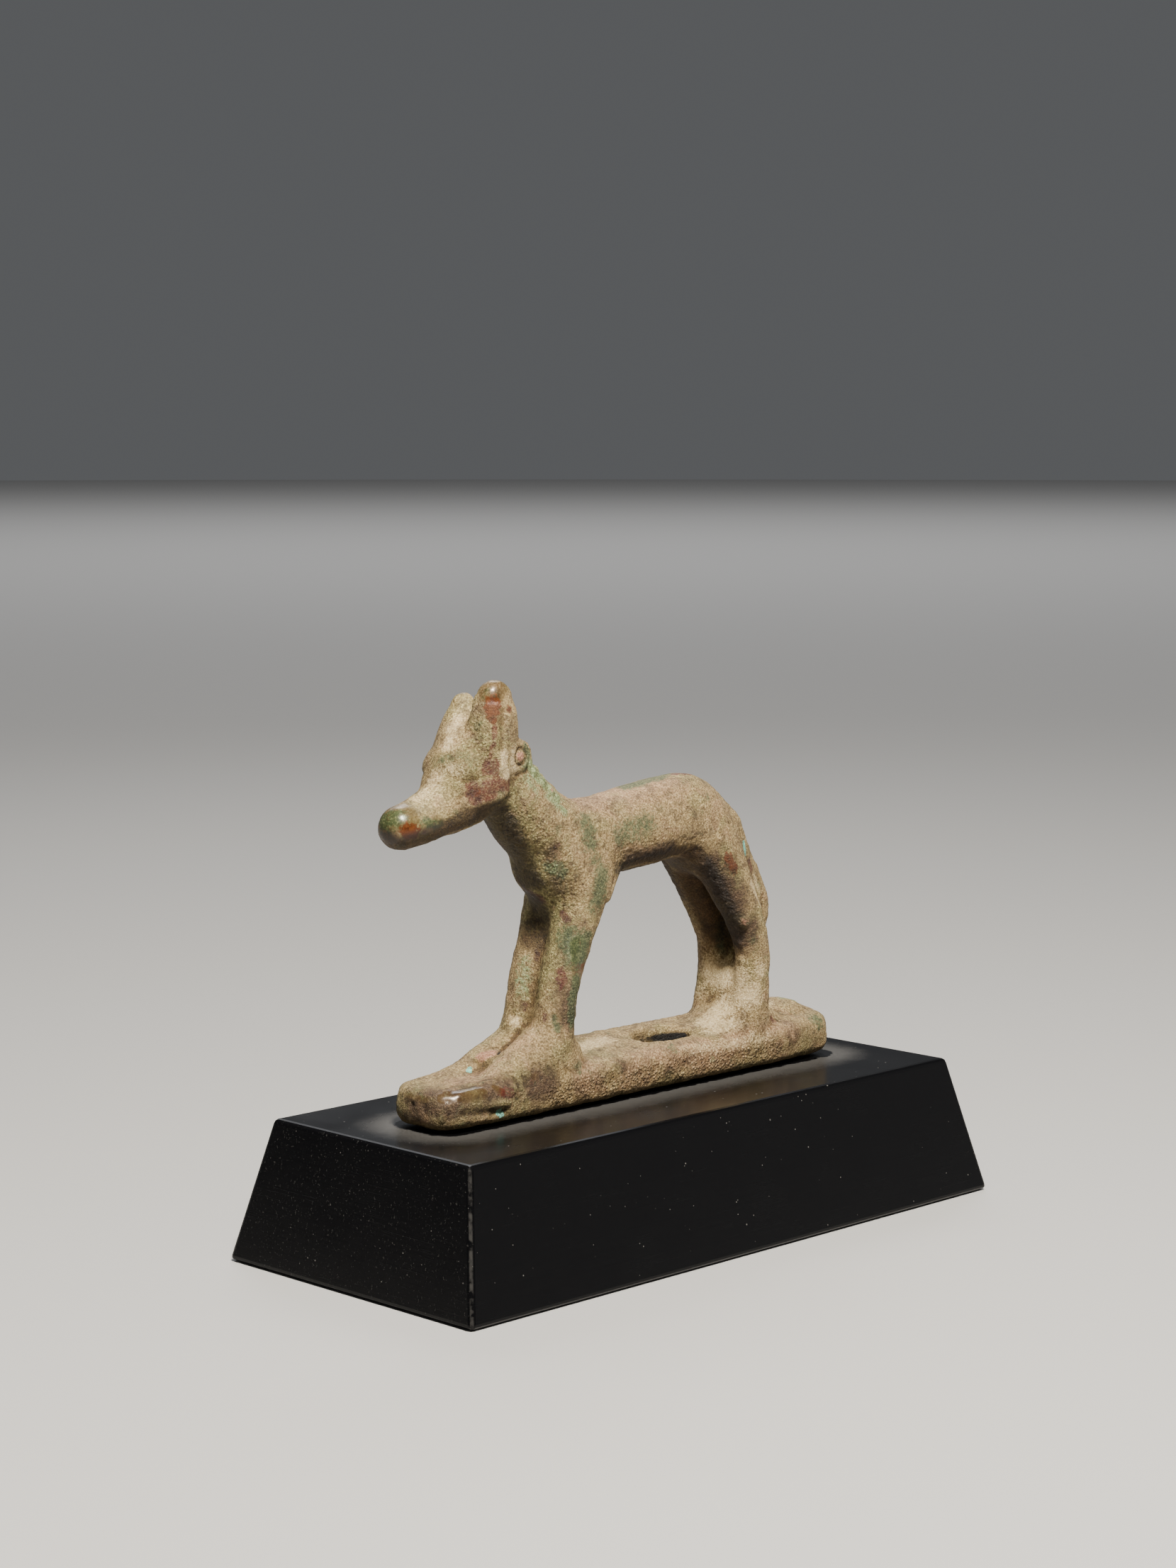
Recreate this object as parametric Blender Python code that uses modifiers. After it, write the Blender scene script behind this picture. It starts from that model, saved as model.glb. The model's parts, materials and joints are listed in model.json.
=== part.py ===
"""A small cast bronze jackal on its own sled base, standing on a black sloping plinth.

Frame: metres, +Z up, origin at the middle of the plinth's underside. The jackal faces -X, and its left
side looks towards -Y. The figure and the sled base under its paws are one solid casting.
"""

import math

import bmesh
import bpy
from mathutils import Matrix, Vector

# Plinth
PLINTH_LENGTH = 0.105
PLINTH_WIDTH = 0.0487
PLINTH_HEIGHT = 0.0197
PLINTH_END_INSET = 0.0042
PLINTH_SIDE_INSET = 0.0048
PLINTH_EDGE_ROUND = 0.0007

# Bronze: the figure stands this far off the plinth's top
SEAT_GAP = 0.0003
FIGURE_HEIGHT = 0.0598

# The figure's pose and proportions are shares of its height: one unit is a sixtieth of it
UNITS_HIGH = 60
UNIT = FIGURE_HEIGHT / UNITS_HIGH

# Sled base, cast with the figure
BASE_FRONT = 40.2 * UNIT
BASE_REAR = 39.7 * UNIT
BASE_WIDTH = 12.7 * UNIT
BASE_THICKNESS = 6.6 * UNIT
BASE_FRONT_THICKNESS = 5.4 * UNIT
BASE_RISE_SHARE = 0.35
BASE_TOP_FALL = 0.15
BASE_FRONT_CORNER_ROUND = 4.0 * UNIT
BASE_REAR_CORNER_ROUND = 4.8 * UNIT
BASE_EDGE_ROUND = 1.9 * UNIT
BASE_CUTS = 19

# Open void in the top of the base, between the legs
VOID_LENGTH = 10.8 * UNIT
VOID_WIDTH = 3.8 * UNIT
VOID_DEPTH = 4.4 * UNIT
VOID_ALONG = 6.6 * UNIT
VOID_SIDE = -0.6 * UNIT
VOID_TURN = math.radians(-10)

# Parting between the ears
EAR_PARTING_WIDTH = 0.7 * UNIT
EAR_PARTING_LENGTH = 9.0 * UNIT
EAR_PARTING_HEIGHT = 12.5 * UNIT

# Suspension ring behind the ears, its bore choked with earth
RING_ALONG = -23.6
RING_UP = 48.9
RING_RADIUS = 2.6
RING_HALF_WIDTH = 3.4
RING_BORE_RADIUS = 1.15
RING_BORE_DEPTH = 0.55

# How the separate shapes are melted into one casting
MELT_VOXEL = 0.5 * UNIT
BODY_ROUNDS = 20
DETAIL_ROUNDS = 6
FIGURE_TRIANGLES = 9000
POINT_DIGITS = 7

BRONZE_COLOUR = (0.30, 0.24, 0.14, 1.0)
BRONZE_ROUGHNESS = 0.62
BRONZE_METALLIC = 0.55
LACQUER_COLOUR = (0.012, 0.012, 0.013, 1.0)
LACQUER_ROUGHNESS = 0.3

FIGURE_FLOOR = PLINTH_HEIGHT + SEAT_GAP


def clear_scene():
    """Empties the scene, so that the model is all it holds."""
    for old in list(bpy.data.objects):
        bpy.data.objects.remove(old)


def collection(name):
    """A new collection under the scene's own."""
    made = bpy.data.collections.new(name)
    bpy.context.scene.collection.children.link(made)
    return made


def material(name, colour, roughness, metallic):
    """A Principled material of one colour."""
    made = bpy.data.materials.new(name)
    made.use_nodes = True
    shader = made.node_tree.nodes["Principled BSDF"]
    shader.inputs["Base Color"].default_value = colour
    shader.inputs["Roughness"].default_value = roughness
    shader.inputs["Metallic"].default_value = metallic
    return made


def place(along, side, up):
    """A point of the figure, given in its own units from the middle of its underside."""
    return Vector((along * UNIT, side * UNIT, FIGURE_FLOOR + up * UNIT))


def limb(stations, side=0, breadth=1.0):
    """A tapering limb with round ends, as a mesh. Each station is (along, up, radius) in units.

    A fourth number in a station is its own distance to the side. Side is -1 or 1 for a limb of a pair,
    and 0 for a limb on the middle line. Breadth widens the round section sideways.
    """
    data = bpy.data.curves.new("limb", "CURVE")
    data.dimensions = "3D"
    data.bevel_depth = UNIT
    data.bevel_resolution = 4
    data.resolution_u = 6
    data.use_fill_caps = True
    spline = data.splines.new("BEZIER")
    spline.radius_interpolation = "CARDINAL"
    spline.bezier_points.add(len(stations) - 1)
    for point, (along, up, radius, *aside) in zip(spline.bezier_points, stations):
        point.co = place(along, side * aside[0] / breadth if aside else 0, up)
        point.handle_left_type = "AUTO"
        point.handle_right_type = "AUTO"
        point.radius = radius
    guide = bpy.data.objects.new("limb", data)
    bpy.context.scene.collection.objects.link(guide)
    evaluated = guide.evaluated_get(bpy.context.evaluated_depsgraph_get())
    mesh = bpy.data.meshes.new_from_object(evaluated)
    bpy.data.objects.remove(guide)
    shape = bmesh.new()
    shape.from_mesh(mesh)
    bmesh.ops.remove_doubles(shape, verts=shape.verts, dist=1e-6)
    for along, up, radius, *aside in (stations[0], stations[-1]):
        middle = place(along, side * aside[0] / breadth if aside else 0, up)
        bmesh.ops.create_uvsphere(
            shape, u_segments=20, v_segments=12, radius=radius * UNIT, matrix=Matrix.Translation(middle)
        )
    shape.transform(Matrix.Diagonal((1, breadth, 1, 1)))
    shape.to_mesh(mesh)
    shape.free()
    return mesh


def lump(centre, radii, lean=0.0, splay=0.0):
    """A rounded mass: an ellipsoid. lean tips its top towards +X and splay towards +Y, in degrees."""
    shape = bmesh.new()
    bmesh.ops.create_uvsphere(shape, u_segments=20, v_segments=14, radius=1.0)
    turn = Matrix.Rotation(math.radians(lean), 4, "Y") @ Matrix.Rotation(math.radians(-splay), 4, "X")
    size = Matrix.Diagonal((radii[0] * UNIT, radii[1] * UNIT, radii[2] * UNIT, 1))
    shape.transform(Matrix.Translation(place(*centre)) @ turn @ size)
    mesh = bpy.data.meshes.new("lump")
    shape.to_mesh(mesh)
    shape.free()
    return mesh


def drum(centre, radius, half_width):
    """A short cylinder lying across the figure."""
    shape = bmesh.new()
    across = {"radius1": radius * UNIT, "radius2": radius * UNIT}
    bmesh.ops.create_cone(shape, cap_ends=True, segments=28, depth=2 * half_width * UNIT, **across)
    shape.transform(Matrix.Translation(place(*centre)) @ Matrix.Rotation(math.pi / 2, 4, "X"))
    mesh = bpy.data.meshes.new("drum")
    shape.to_mesh(mesh)
    shape.free()
    return mesh


def sled_base():
    """The long base: a slab with rounded corners and edges, lower in front and on the near side."""
    half = ((BASE_FRONT + BASE_REAR) / 2, BASE_WIDTH / 2, BASE_THICKNESS / 2)
    shape = bmesh.new()
    bmesh.ops.create_cube(shape, size=2.0)
    bmesh.ops.subdivide_edges(shape, edges=shape.edges, cuts=BASE_CUTS, use_grid_fill=True)
    for v in shape.verts:
        outward = Vector([math.copysign(max(0.0, 2 * abs(c) - 1), c) for c in v.co]).normalized()
        core = [max(-1.0, min(1.0, 2 * c)) * (size - BASE_EDGE_ROUND) for c, size in zip(v.co, half)]
        x, y, z = [c + o * BASE_EDGE_ROUND for c, o in zip(core, outward)]
        corner = BASE_FRONT_CORNER_ROUND if x < 0 else BASE_REAR_CORNER_ROUND
        over_x, over_y = abs(x) - (half[0] - corner), abs(y) - (half[1] - corner)
        if over_x > 0 and over_y > 0:
            share = max(over_x, over_y) / math.hypot(over_x, over_y)
            x = math.copysign(half[0] - corner + over_x * share, x)
            y = math.copysign(half[1] - corner + over_y * share, y)
        x += (BASE_REAR - BASE_FRONT) / 2
        rise = min(1.0, (x + BASE_FRONT) / (half[0] * 2) / BASE_RISE_SHARE)
        top = BASE_FRONT_THICKNESS + (BASE_THICKNESS + BASE_TOP_FALL * y - BASE_FRONT_THICKNESS) * rise
        v.co = (x, y, FIGURE_FLOOR + (z + half[2]) / (2 * half[2]) * top)
    mesh = bpy.data.meshes.new("sled_base")
    shape.to_mesh(mesh)
    shape.free()
    return mesh


def body_shapes():
    """Trunk, neck, chest, shoulders, rump and the four legs: the large masses."""
    trunk = [
        (-12, 36.4, 5.7), (-6, 36.4, 5.8), (0, 36.9, 6.1), (7, 37.6, 6.2), (12, 37.7, 6.05),
        (15.2, 36.1, 5.2),
    ]
    neck = [
        (-12, 35.2, 5.9), (-15.5, 37.3, 5.9), (-19.5, 40.3, 5.55), (-23.4, 44.5, 5.1), (-27, 47.3, 4.5),
    ]
    chest = [
        (-16.6, 38.6, 5.4), (-15.2, 36, 6.1), (-14.0, 33, 6.2), (-13.3, 30, 5.2), (-13.0, 26.8, 3.4),
        (-13.6, 23, 1.8),
    ]
    shapes = [limb(trunk, 0, 0.96), limb(neck, 0, 0.94), limb(chest, 0, 0.95)]
    shapes.append(lump((13.0, 0, 36.3), (5.8, 5.9, 7.4), lean=-28))
    fore_leg = [
        (-10.8, 33.2, 4.2, 2.3), (-11.2, 30.7, 4.4, 2.6), (-12.0, 28.4, 4.0, 2.8), (-12.7, 26.3, 3.6, 2.95),
        (-13.7, 23.7, 3.35, 3.0), (-14.7, 21, 3.2, 3.0), (-15.7, 18.4, 3.1, 3.0), (-16.4, 15.7, 3.05, 3.0),
        (-17.0, 12.5, 3.05, 3.0), (-17.6, 9.5, 3.3, 3.0), (-18.2, 6.5, 3.4, 2.9),
    ]
    hind_leg = [
        (13.2, 35.5, 5.1, 2.2), (15.0, 33, 4.8, 2.6), (16.6, 30.5, 4.3, 3.0), (18.4, 27, 3.7, 3.4),
        (20.6, 23, 3.35, 3.6), (22.2, 19.5, 3.1, 3.7), (22.8, 16, 3.05, 3.7), (22.7, 12.5, 3.1, 3.7),
        (22.4, 9.5, 3.4, 3.6), (22, 6.3, 3.6, 3.4),
    ]
    for side in (-1, 1):
        shapes.append(limb(fore_leg, side, 0.94))
        shapes.append(limb(hind_leg, side, 0.78))
        shapes.append(lump((-10.2, 2.5 * side, 31.9), (5.3, 3.1, 6.9), lean=21))
    return shapes


def fore_leg_details():
    """The web between the fore legs, and the paws flaring forward over the base."""
    web = [
        (-12.2, 30, 2.4), (-13.6, 23.5, 1.7), (-15.9, 17, 1.7), (-17.2, 11.5, 2.0), (-18.4, 8.4, 2.4),
        (-19.8, 5, 3.2),
    ]
    far_paw = [
        (-18.5, 9.0, 2.7, 3.0), (-21, 7.9, 2.6, 3.0), (-24.5, 6.5, 2.5, 3.1), (-28.5, 4.9, 2.4, 3.1),
        (-31.2, 4.3, 2.2, 3.1),
    ]
    near_paw = [
        (-18.2, 8.8, 3.5, 2.6), (-21, 7.3, 3.5, 2.6), (-25, 5.2, 3.3, 2.7), (-29, 3.6, 2.9, 2.9),
        (-33, 2.9, 2.6, 3.1),
    ]
    shapes = [limb(web), limb(far_paw, 1), limb(near_paw, -1)]
    shapes.append(lump((-19.5, -3.7, 3.7), (8.0, 2.6, 3.0)))
    for side in (-1, 1):
        shapes.append(lump((-18.4, 2.75 * side, 6.0), (6.4, 3.4, 4.8), lean=-8))
        shapes.append(lump((-21.0, 3.0 * side, 5.4), (6.2, 3.2, 3.2), lean=-8))
    shapes.append(lump((-25.4, 0.5, 6.7), (1.5, 1.2, 1.1)))
    return shapes


def hind_leg_details():
    """The set-back web between the hind legs, the feet and the tail that hangs behind them."""
    web = [
        (20, 31, 2.2), (22.0, 27, 1.7), (23.6, 22, 1.5), (24.2, 18, 1.5), (23.6, 15, 2.0), (22.8, 12, 2.8),
        (22, 7, 3.2),
    ]
    foot = [(11.5, 4.6, 2.0), (16.5, 5.6, 2.3), (20, 6.8, 2.8), (24, 7.0, 2.8), (28, 5.8, 2.2)]
    tail = [
        (17, 39.2, 2.0), (20.1, 36.3, 1.9), (23.4, 31.7, 1.75), (26.3, 26.8, 1.7), (27.6, 22.6, 1.9),
        (26.9, 19, 1.55), (25.8, 13, 1.4), (25.0, 7, 1.8),
    ]
    tail_web = [(18.3, 35.6, 3.6), (20.9, 31.6, 2.9), (23.3, 27, 2.4), (24.9, 22.5, 2.1), (25.2, 17, 1.4)]
    knob = lump((19.7, -5.3, 22.6), (1.4, 0.9, 1.4))
    heap = lump((33.3, 1.0, 6.4), (4.2, 3.6, 1.7))
    shapes = [limb(web, 0, 1.8), limb(foot, 0, 1.8), limb(tail, 0, 1.1), limb(tail_web, 0, 1.3)]
    return shapes + [knob, heap]


def head_shapes():
    """Skull, muzzle, cheeks, ears and the ring behind them."""
    muzzle = [(-42.4, 40.75, 3.1), (-39, 41.5, 3.35), (-36, 42.5, 3.75), (-32, 43.8, 4.4), (-27.5, 45.8, 4.4)]
    skull = lump((-30.0, 0, 46.6), (6.4, 4.7, 5.3), lean=12)
    forehead = [(-34.6, 45.6, 2.7), (-32.9, 48.3, 3.1), (-31.2, 51.0, 2.9)]
    shapes = [limb(muzzle), skull, limb(forehead, 0, 1.45)]
    near_ear = [
        (-29.8, 46, 3.8, 2.5), (-28.9, 49.5, 3.95, 2.6), (-28.2, 53, 3.85, 2.7), (-27.9, 55.6, 3.4, 2.7),
        (-27.9, 57.0, 2.75, 2.65),
    ]
    far_ear = [
        (-30.4, 46, 3.7, 2.5), (-29.7, 49.5, 3.7, 2.65), (-29.0, 52.5, 3.3, 2.75), (-28.6, 54.6, 2.7, 2.75),
        (-28.5, 55.9, 1.95, 2.7),
    ]
    shapes += [limb(near_ear, -1, 0.82), limb(far_ear, 1, 0.82)]
    for side in (-1, 1):
        shapes.append(lump((-30.0, 2.7 * side, 45.4), (4.8, 2.3, 2.7), lean=20))
    shapes.append(drum((RING_ALONG, 0, RING_UP), RING_RADIUS, RING_HALF_WIDTH))
    shapes.append(lump((-16.7, -1.0, 43.4), (1.9, 1.8, 1.5), lean=40))
    return shapes


def in_order(mesh):
    """The same skin with its points and faces listed in a fixed order, so that every build is alike."""
    points = [tuple(round(c, POINT_DIGITS) for c in v.co) for v in mesh.vertices]
    order = sorted(range(len(points)), key=points.__getitem__)
    new_place = {old: new for new, old in enumerate(order)}
    faces = []
    for polygon in mesh.polygons:
        ring = [new_place[index] for index in polygon.vertices]
        first = ring.index(min(ring))
        faces.append(ring[first:] + ring[:first])
    bpy.data.meshes.remove(mesh)
    sorted_mesh = bpy.data.meshes.new("wax")
    sorted_mesh.from_pydata([points[index] for index in order], [], sorted(faces))
    return sorted_mesh


def shaped(mesh, kind, **settings):
    """A mesh after one modifier, as a new mesh. The old mesh is removed."""
    holder = bpy.data.objects.new("wax", mesh)
    bpy.context.scene.collection.objects.link(holder)
    change = holder.modifiers.new(kind.lower(), kind)
    for key, value in settings.items():
        setattr(change, key, value)
    evaluated = holder.evaluated_get(bpy.context.evaluated_depsgraph_get())
    made = bpy.data.meshes.new_from_object(evaluated)
    bpy.data.objects.remove(holder)
    bpy.data.meshes.remove(mesh)
    return made


def melt(shapes, rounds):
    """Joins overlapping shapes into one closed skin and rounds the joins, as in a wax before casting."""
    joined = bmesh.new()
    for mesh in shapes:
        joined.from_mesh(mesh)
        bpy.data.meshes.remove(mesh)
    mesh = bpy.data.meshes.new("wax")
    joined.to_mesh(mesh)
    joined.free()
    skin = in_order(shaped(mesh, "REMESH", mode="VOXEL", voxel_size=MELT_VOXEL))
    return in_order(shaped(skin, "SMOOTH", factor=0.5, iterations=rounds))


def cutter(name, mesh, guides):
    """A guide object that a Boolean takes away from the figure."""
    made = bpy.data.objects.new(name, mesh)
    made.hide_render = True
    made.display_type = "WIRE"
    guides.objects.link(made)
    return made


def void_cutter(guides):
    """A long pit with round ends and a round floor, sunk in the top of the base."""
    shape = bmesh.new()
    bmesh.ops.create_icosphere(shape, subdivisions=3, radius=1.0)
    floor_up = BASE_THICKNESS - VOID_DEPTH
    for v in shape.verts:
        if v.co.z > 0:
            v.co.z = 1.5 * v.co.z + 0.6
        v.co.x = math.copysign(abs(v.co.x) ** 0.8, v.co.x)
    size = Matrix.Diagonal((VOID_LENGTH / 2, VOID_WIDTH / 2, VOID_DEPTH / 2, 1))
    turn = Matrix.Rotation(VOID_TURN, 4, "Z")
    middle = Vector((VOID_ALONG, VOID_SIDE, FIGURE_FLOOR + floor_up + VOID_DEPTH / 2))
    shape.transform(Matrix.Translation(middle) @ turn @ size)
    mesh = bpy.data.meshes.new("void_cutter")
    shape.to_mesh(mesh)
    shape.free()
    return cutter("void_cutter", mesh, guides)


def parting_cutter(guides):
    """A thin upright lens that parts the two ears."""
    size = (EAR_PARTING_LENGTH / 2 / UNIT, EAR_PARTING_WIDTH / 2 / UNIT, EAR_PARTING_HEIGHT / 2 / UNIT)
    return cutter("parting_cutter", lump((-29.6, 0, 57.4), size, lean=6), guides)


def bore_cutters(guides):
    """A shallow round sinking in each face of the ring, where the plug of earth sits back."""
    made = []
    for name, face in (("bore_cutter_left", -1), ("bore_cutter_right", 1)):
        middle = (RING_ALONG, face * (RING_HALF_WIDTH - RING_BORE_DEPTH + 1.0), RING_UP)
        made.append(cutter(name, drum(middle, RING_BORE_RADIUS, 1.0), guides))
    return made


def carve(skin, tools):
    """Takes the tools away from a skin, one after another."""
    for tool in tools:
        skin = in_order(shaped(skin, "BOOLEAN", operation="DIFFERENCE", solver="EXACT", object=tool))
    return skin


def build_figure(parts, guides):
    """The bronze casting, one closed solid."""
    body = melt(body_shapes(), BODY_ROUNDS)
    details = [sled_base()] + fore_leg_details() + hind_leg_details() + head_shapes()
    tools = [void_cutter(guides), parting_cutter(guides)] + bore_cutters(guides)
    full = carve(melt([body] + details, DETAIL_ROUNDS), tools)
    full.calc_loop_triangles()
    share = min(1.0, FIGURE_TRIANGLES / len(full.loop_triangles))
    figure = bpy.data.objects.new("jackal_figure", shaped(full, "DECIMATE", ratio=share))
    figure.data.name = "jackal_figure"
    parts.objects.link(figure)
    bronze = material("patinated_bronze", BRONZE_COLOUR, BRONZE_ROUGHNESS, BRONZE_METALLIC)
    figure.data.materials.append(bronze)
    return figure


def build_plinth(parts):
    """The plinth: a block whose four sides lean in towards the top, with slightly rounded edges."""
    shape = bmesh.new()
    bmesh.ops.create_cube(shape, size=1.0)
    for v in shape.verts:
        raised = v.co.z > 0
        v.co.x = math.copysign(PLINTH_LENGTH / 2 - (PLINTH_END_INSET if raised else 0), v.co.x)
        v.co.y = math.copysign(PLINTH_WIDTH / 2 - (PLINTH_SIDE_INSET if raised else 0), v.co.y)
        v.co.z = PLINTH_HEIGHT if raised else 0
    mesh = bpy.data.meshes.new("plinth")
    shape.to_mesh(mesh)
    shape.free()
    plinth = bpy.data.objects.new("plinth", mesh)
    parts.objects.link(plinth)
    edges = plinth.modifiers.new("rounded_edges", "BEVEL")
    edges.width = PLINTH_EDGE_ROUND
    edges.segments = 3
    plinth.data.materials.append(material("black_lacquer", LACQUER_COLOUR, LACQUER_ROUGHNESS, 0.0))
    return plinth


def main():
    clear_scene()
    parts = collection("bronze_jackal_on_plinth")
    guides = collection("cutters")
    build_plinth(parts)
    build_figure(parts, guides)


main()
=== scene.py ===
# %% [markdown]
# # A small bronze jackal on a black block
# The work is a cast bronze about 60 mm high, set on a block of black lacquered wood. Its solids come
# from a frame model that is already fixed in size and place. This lesson gives the two solids the
# surface of the real ones: first the light and the camera, then the corroded bronze, then the block.
# All places below are in millimetres in the frame's own axes, and a helper turns them into metres.

import json
import math

import bpy
import numpy as np
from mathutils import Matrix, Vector

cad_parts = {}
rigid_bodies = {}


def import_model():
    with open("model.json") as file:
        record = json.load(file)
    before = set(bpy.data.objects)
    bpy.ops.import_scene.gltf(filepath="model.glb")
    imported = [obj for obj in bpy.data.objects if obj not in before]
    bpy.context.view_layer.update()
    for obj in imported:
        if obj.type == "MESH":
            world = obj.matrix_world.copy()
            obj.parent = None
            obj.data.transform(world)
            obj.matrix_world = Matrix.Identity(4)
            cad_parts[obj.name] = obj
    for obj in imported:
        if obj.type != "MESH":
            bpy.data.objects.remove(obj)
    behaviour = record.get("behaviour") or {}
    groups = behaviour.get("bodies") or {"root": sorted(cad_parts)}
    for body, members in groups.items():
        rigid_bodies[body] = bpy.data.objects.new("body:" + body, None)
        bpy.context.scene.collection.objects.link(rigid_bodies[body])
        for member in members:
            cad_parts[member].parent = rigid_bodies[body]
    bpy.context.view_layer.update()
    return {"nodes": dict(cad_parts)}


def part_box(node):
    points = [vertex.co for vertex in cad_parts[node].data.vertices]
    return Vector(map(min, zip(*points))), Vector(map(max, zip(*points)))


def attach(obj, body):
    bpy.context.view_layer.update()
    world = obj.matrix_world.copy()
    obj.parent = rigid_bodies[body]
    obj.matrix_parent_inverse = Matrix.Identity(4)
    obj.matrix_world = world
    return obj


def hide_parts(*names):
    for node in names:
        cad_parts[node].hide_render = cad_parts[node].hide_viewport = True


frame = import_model()
MM = 0.001
figure_low, figure_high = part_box("jackal_figure")
plinth_low, plinth_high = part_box("plinth")
print("bronze from", figure_low, "to", figure_high)
print("block from", plinth_low, "to", plinth_high)


# %% [markdown]
# Every operator in Blender acts on all that is selected. So one short helper clears the selection and
# makes a single object the selected and active one, and it is called before each step.

# %% A helper for the selection
def pick_only(thing):
    for other in bpy.context.selected_objects:
        other.select_set(False)
    if thing is not None:
        thing.select_set(True)
        bpy.context.view_layer.objects.active = thing


# %% [markdown]
# ## The camera
# The photograph was taken from the animal's left front, a little above the block's top, with a long
# lens. The camera stands where the block's seven visible corners say that it stood. The object sits low
# in the picture because the camera looks past its ears, so no lens shift is needed.

# %% Camera
camera_data = bpy.data.cameras.new("photo_camera")
camera = bpy.data.objects.new("photo_camera", camera_data)
bpy.context.scene.collection.objects.link(camera)
camera.location = (-0.3119, -0.3041, 0.1132)
camera.rotation_euler = (math.radians(90 - 6.58), 0, math.radians(-45.03))
camera_data.lens = 71.7
camera_data.sensor_width = 36
camera_data.sensor_fit = "AUTO"
camera_data.clip_start = 0.01
camera_data.clip_end = 50
bpy.context.scene.camera = camera
print("camera", tuple(round(v, 4) for v in camera.location), "lens", camera_data.lens)

# %% [markdown]
# ## The floor and the light
# A plain pale floor runs far out, so that its edge is a soft horizon. The photograph is lit mainly from
# overhead, a little towards the camera: the tops of the muzzle, the back and the base are bright, and
# the throat, the belly and the insides of the legs are dark. Here a disk of light 12 cm across does
# that. Two weak lights, behind and on the right, keep the dark places readable. A fourth one lights the
# far floor on the side that the camera looks at, which would be nearly black without it.

# %% Floor
FLOOR_DROP = 0.2 * MM

pick_only(None)
bpy.ops.mesh.primitive_circle_add(vertices=96, radius=6, fill_type="NGON", location=(0, 0, -FLOOR_DROP))
floor = bpy.context.active_object
floor.name = "floor"
bpy.ops.object.transform_apply(location=True, rotation=True, scale=True)
floor_paint = bpy.data.materials.new("pale_floor")
floor_paint.use_nodes = True
floor_shader = floor_paint.node_tree.nodes["Principled BSDF"]
floor_shader.inputs["Base Color"].default_value = (0.46, 0.45, 0.435, 1)
floor_shader.inputs["Roughness"].default_value = 0.85
floor.data.materials.append(floor_paint)

# %% Light
world = bpy.data.worlds.new("pale_studio")
world.use_nodes = True
world.node_tree.nodes["Background"].inputs["Color"].default_value = (0.93, 0.96, 1.0, 1)
world.node_tree.nodes["Background"].inputs["Strength"].default_value = 0.11
bpy.context.scene.world = world


def soft_light(name, place, target, size, power, colour):
    data = bpy.data.lights.new(name, "AREA")
    data.shape = "DISK"
    data.size = size
    data.energy = power
    data.color = colour
    light = bpy.data.objects.new(name, data)
    light.location = place
    light.rotation_euler = (Vector(target) - Vector(place)).to_track_quat("-Z", "Y").to_euler()
    bpy.context.scene.collection.objects.link(light)


soft_light("overhead", (-0.15, -0.26, 0.50), (0, 0, 0.04), 0.12, 9.2, (1.0, 0.95, 0.86))
soft_light("back_fill", (0.25, 0.35, 0.40), (0, 0, 0.04), 0.4, 0.5, (0.95, 0.97, 1.0))
soft_light("far_floor", (1.6, 1.6, 2.2), (1.9, 1.9, 0.0), 1.6, 45.0, (0.97, 0.98, 1.0))
soft_light("right_fill", (0.45, -0.45, 0.15), (0, 0, 0.04), 0.4, 0.15, (1.0, 0.97, 0.94))

# %% [markdown]
# ## The bronze
# The real bronze was modelled in wax, cast solid and then lay in the ground, where its skin turned into
# a crust of grains a quarter of a millimetre across. The frame's solid has the form but is faceted. So
# a copy of it is remeshed into small even squares, and smoothed until its facets are gone. From then on
# it has enough points for every lump and pit to be real mesh.
#
# The loop behind the ears needs more before that. A small round collar stands out from each of its
# sides, and earth fills the corner between the loop and the ears. These are a cylinder and two balls
# on each side. They overlap the solid, and the remeshing melts them all into one skin.

# %% A fine even skin over the solid
GRAIN_MESH = 0.312 * MM

pick_only(frame["nodes"]["jackal_figure"])
bpy.ops.object.duplicate()
bronze = bpy.context.active_object
bronze.name = "corroded_bronze"
bpy.ops.object.parent_clear(type="CLEAR_KEEP_TRANSFORM")
bronze.data = bronze.data.copy()
bronze.data.name = "corroded_bronze"

# The loop's middle along X and Z, how far its faces stand from the middle plane, and its collars.
RING_MIDDLE = (-24.9, 69.1)
RING_FACE = 4.6
COLLAR_RADIUS = 2.15
COLLAR_LENGTH = 2.6
# The balls of earth between the loop and the ears: (radius, place on the right side).
EARTH_FILLS = [(1.6, (-27.3, 3.5, 69.3)), (1.4, (-26.9, 3.5, 67.6))]

for side in (-1, 1):
    pick_only(None)
    bpy.ops.mesh.primitive_cylinder_add(
        vertices=48, radius=COLLAR_RADIUS * MM, depth=COLLAR_LENGTH * MM,
        rotation=(math.radians(90), 0, 0),
        location=(RING_MIDDLE[0] * MM, side * (RING_FACE - COLLAR_LENGTH / 2) * MM, RING_MIDDLE[1] * MM))
    lumps = [bpy.context.active_object]
    for radius, (along, across, up) in EARTH_FILLS:
        pick_only(None)
        bpy.ops.mesh.primitive_uv_sphere_add(
            segments=24, ring_count=16, radius=radius * MM,
            location=(along * MM, side * across * MM, up * MM))
        lumps.append(bpy.context.active_object)
    pick_only(bronze)
    for lump in lumps:
        lump.select_set(True)
    bpy.ops.object.join()
bpy.ops.object.mode_set(mode="EDIT")
bpy.ops.mesh.select_all(action="SELECT")
bpy.ops.mesh.remove_doubles(threshold=0.000001)
bpy.ops.object.mode_set(mode="OBJECT")


def add_and_apply(thing, kind, **settings):
    pick_only(thing)
    change = thing.modifiers.new(kind.lower(), kind)
    for key, value in settings.items():
        setattr(change, key, value)
    bpy.ops.object.modifier_apply(modifier=change.name)


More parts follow.
